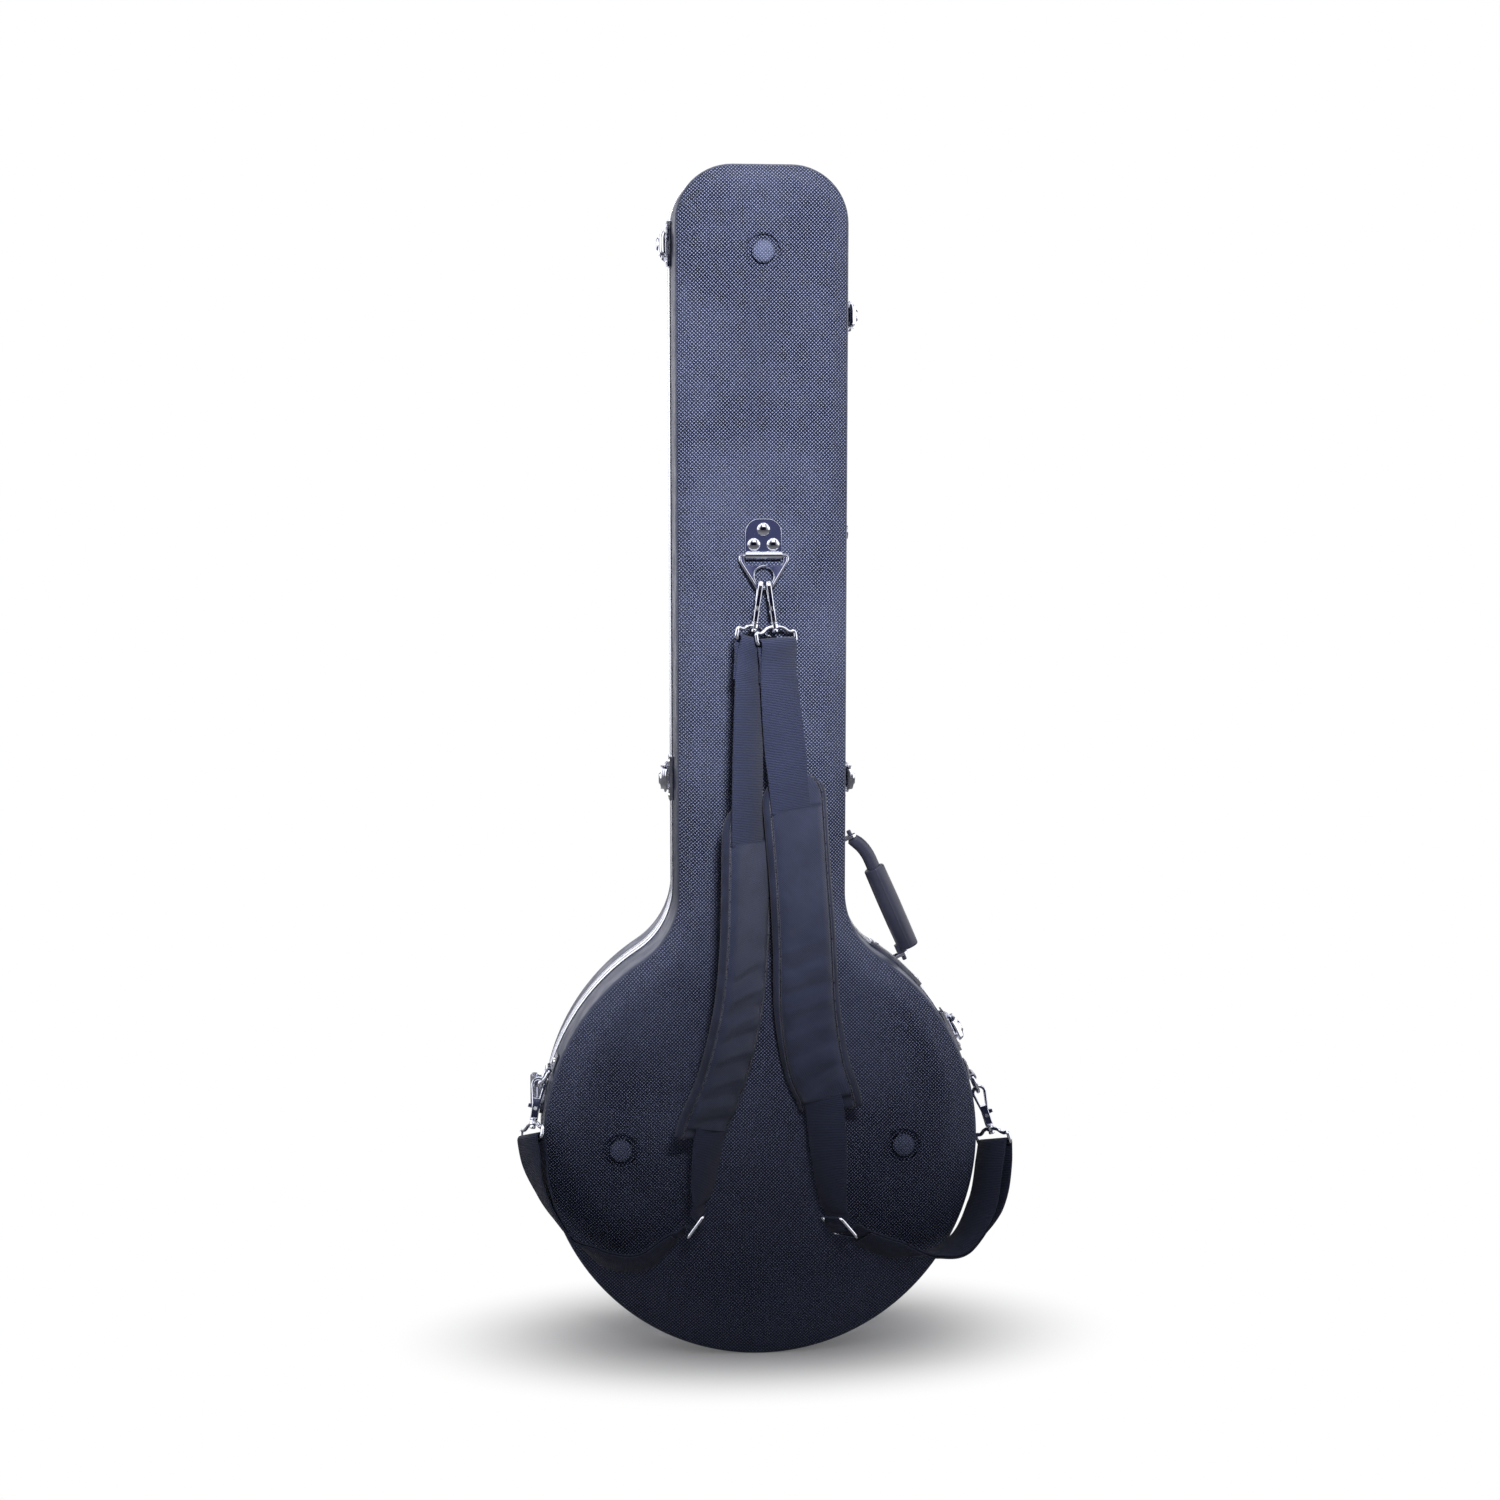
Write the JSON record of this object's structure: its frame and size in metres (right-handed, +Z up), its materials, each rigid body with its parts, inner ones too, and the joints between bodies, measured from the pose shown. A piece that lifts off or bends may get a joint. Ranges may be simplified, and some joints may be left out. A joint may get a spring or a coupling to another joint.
{
  "type": "banjo case",
  "caption": "Moulded hard case for a banjo with metal edging, draw latches, a side handle, hinged lid, lined interior and padded shoulder straps.",
  "frame": {"origin": "on the flat of the lower end of the base half edging, in the middle of the case width", "axes": "+Z up along the neck, +X to the right seen from the back, +Y from the back of the case to its lid"},
  "size_m": [0.4388, 0.2005, 1.04],
  "materials": {
    "shell": "textured",
    "edging": "satin",
    "lining": "plush",
    "chrome": "polished",
    "handle_rubber": "smooth",
    "webbing": "ribbed weave",
    "pad_fabric": "twill"
  },
  "bodies": {
    "case": {"back_shell": "shell", "base_edging": "edging", "base_lining": "lining", "key_lock": "chrome", "hinge_base_leaf_upper": "chrome", "hinge_base_leaf_lower": "chrome", "hinge_pin_upper": "chrome", "hinge_pin_lower": "chrome", "handle_bracket_upper": "chrome", "handle_bracket_lower": "chrome", "strap_anchor_plate": "chrome", "strap_anchor_ring": "chrome", "side_anchor_right": "chrome", "side_anchor_left": "chrome", "d_ring_right": "chrome", "d_ring_left": "chrome", "strap_loop_top_right": "chrome", "strap_loop_top_left": "chrome", "strap_loop_low_right": "chrome", "strap_loop_low_left": "chrome", "webbing_upper_right": "webbing", "webbing_upper_left": "webbing", "webbing_lower_right": "webbing", "webbing_lower_left": "webbing", "shoulder_pad_right": "pad_fabric", "shoulder_pad_left": "pad_fabric", "strap_slider_right": "chrome", "strap_slider_left": "chrome", "latch_plate_left_upper": "chrome", "latch_plate_left_lower": "chrome", "latch_plate_right_upper": "chrome", "latch_plate_right_lower": "chrome", "latch_plate_bout": "chrome"},
    "lid": {"front_shell": "shell", "lid_edging": "edging", "lid_lining": "lining", "hinge_lid_leaf_upper": "chrome", "hinge_lid_leaf_lower": "chrome", "latch_catch_left_upper": "chrome", "latch_catch_left_lower": "chrome", "latch_catch_right_upper": "chrome", "latch_catch_right_lower": "chrome", "latch_catch_bout": "chrome"},
    "lever_left_upper": {"latch_lever_left_upper": "chrome"},
    "bail_left_upper": {"latch_bail_left_upper": "chrome"},
    "lever_left_lower": {"latch_lever_left_lower": "chrome"},
    "bail_left_lower": {"latch_bail_left_lower": "chrome"},
    "lever_right_upper": {"latch_lever_right_upper": "chrome"},
    "bail_right_upper": {"latch_bail_right_upper": "chrome"},
    "lever_right_lower": {"latch_lever_right_lower": "chrome"},
    "bail_right_lower": {"latch_bail_right_lower": "chrome"},
    "lever_bout": {"latch_lever_bout": "chrome"},
    "bail_bout": {"latch_bail_bout": "chrome"},
    "handle": {"handle_core": "handle_rubber", "handle_grip": "handle_rubber"},
    "accessory_cover": {"accessory_lid": "lining"},
    "hook_top_right": {"snap_hook_top_right": "chrome"},
    "hook_low_right": {"snap_hook_low_right": "chrome"},
    "hook_top_left": {"snap_hook_top_left": "chrome"},
    "hook_low_left": {"snap_hook_low_left": "chrome"}
  },
  "joints": [
    {"name": "lid_hinge", "type": "hinge", "parent": "case", "child": "lid", "pos_m": [-0.1988, 0.0055, 0.194], "axis": [0, 0, 1], "range_deg": [0, 105]},
    {"name": "latch_left_upper", "type": "hinge", "parent": "case", "child": "lever_left_upper", "pos_m": [-0.08298, -0.0015, 0.974], "axis": [0, 0, -1], "range_deg": [0, 120]},
    {"name": "bail_swing_left_upper", "type": "hinge", "parent": "lever_left_upper", "child": "bail_left_upper", "pos_m": [-0.08213, -0.00643, 0.974], "axis": [0, 0, -1], "range_deg": [-120, 0]},
    {"name": "latch_left_lower", "type": "hinge", "parent": "case", "child": "lever_left_lower", "pos_m": [-0.08217, -0.0015, 0.50952], "axis": [0, 0, -1], "range_deg": [0, 120]},
    {"name": "bail_swing_left_lower", "type": "hinge", "parent": "lever_left_lower", "child": "bail_left_lower", "pos_m": [-0.08132, -0.00643, 0.50952], "axis": [0, 0, -1], "range_deg": [-120, 0]},
    {"name": "latch_right_upper", "type": "hinge", "parent": "case", "child": "lever_right_upper", "pos_m": [0.08287, -0.0015, 0.914], "axis": [0, 0, 1], "range_deg": [0, 120]},
    {"name": "bail_swing_right_upper", "type": "hinge", "parent": "lever_right_upper", "child": "bail_right_upper", "pos_m": [0.08202, -0.00643, 0.914], "axis": [0, 0, 1], "range_deg": [-120, 0]},
    {"name": "latch_right_lower", "type": "hinge", "parent": "case", "child": "lever_right_lower", "pos_m": [0.08217, -0.0015, 0.50802], "axis": [0, 0, 1], "range_deg": [0, 120]},
    {"name": "bail_swing_right_lower", "type": "hinge", "parent": "lever_right_lower", "child": "bail_right_lower", "pos_m": [0.08131, -0.00643, 0.50802], "axis": [0, 0, 1], "range_deg": [-120, 0]},
    {"name": "latch_bout", "type": "hinge", "parent": "case", "child": "lever_bout", "pos_m": [0.18006, -0.0015, 0.28105], "axis": [-0.4352, 0, 0.9003], "range_deg": [0, 120]},
    {"name": "bail_swing_bout", "type": "hinge", "parent": "lever_bout", "child": "bail_bout", "pos_m": [0.1793, -0.00643, 0.28068], "axis": [-0.4352, 0, 0.9003], "range_deg": [-120, 0]},
    {"name": "handle_swing", "type": "hinge", "parent": "case", "child": "handle", "pos_m": [0.08477, -0.003, 0.45452], "axis": [0.4044, 0, -0.9146], "range_deg": [-75, 75]},
    {"name": "accessory_lid", "type": "hinge", "parent": "case", "child": "accessory_cover", "pos_m": [-0.03807, -0.022, 0.58], "axis": [0, 0, 1], "range_deg": [0, 80]},
    {"name": "hook_swivel_top_right", "type": "hinge", "parent": "case", "child": "hook_top_right", "pos_m": [0.0032, -0.08084, 0.68378], "axis": [-0.1337, 0.1688, 0.9765], "range_deg": [-6, 6]},
    {"name": "hook_swivel_low_right", "type": "hinge", "parent": "case", "child": "hook_low_right", "pos_m": [0.19562, -0.03621, 0.23112], "axis": [-0.2942, 0.0959, 0.9509], "range_deg": [-12, 12]},
    {"name": "hook_swivel_top_left", "type": "hinge", "parent": "case", "child": "hook_top_left", "pos_m": [-0.0032, -0.08084, 0.68378], "axis": [0.1456, 0.1933, 0.9703], "range_deg": [-6, 6]},
    {"name": "hook_swivel_low_left", "type": "hinge", "parent": "case", "child": "hook_low_left", "pos_m": [-0.19445, -0.03493, 0.24536], "axis": [0.1484, 0.4004, 0.9043], "range_deg": [-12, 12]}
  ],
  "couplings": [
    {"joint": "bail_swing_left_upper", "follows": "latch_left_upper", "ratio": -1},
    {"joint": "bail_swing_left_lower", "follows": "latch_left_lower", "ratio": -1},
    {"joint": "bail_swing_right_upper", "follows": "latch_right_upper", "ratio": -1},
    {"joint": "bail_swing_right_lower", "follows": "latch_right_lower", "ratio": -1},
    {"joint": "bail_swing_bout", "follows": "latch_bout", "ratio": -1}
  ]
}
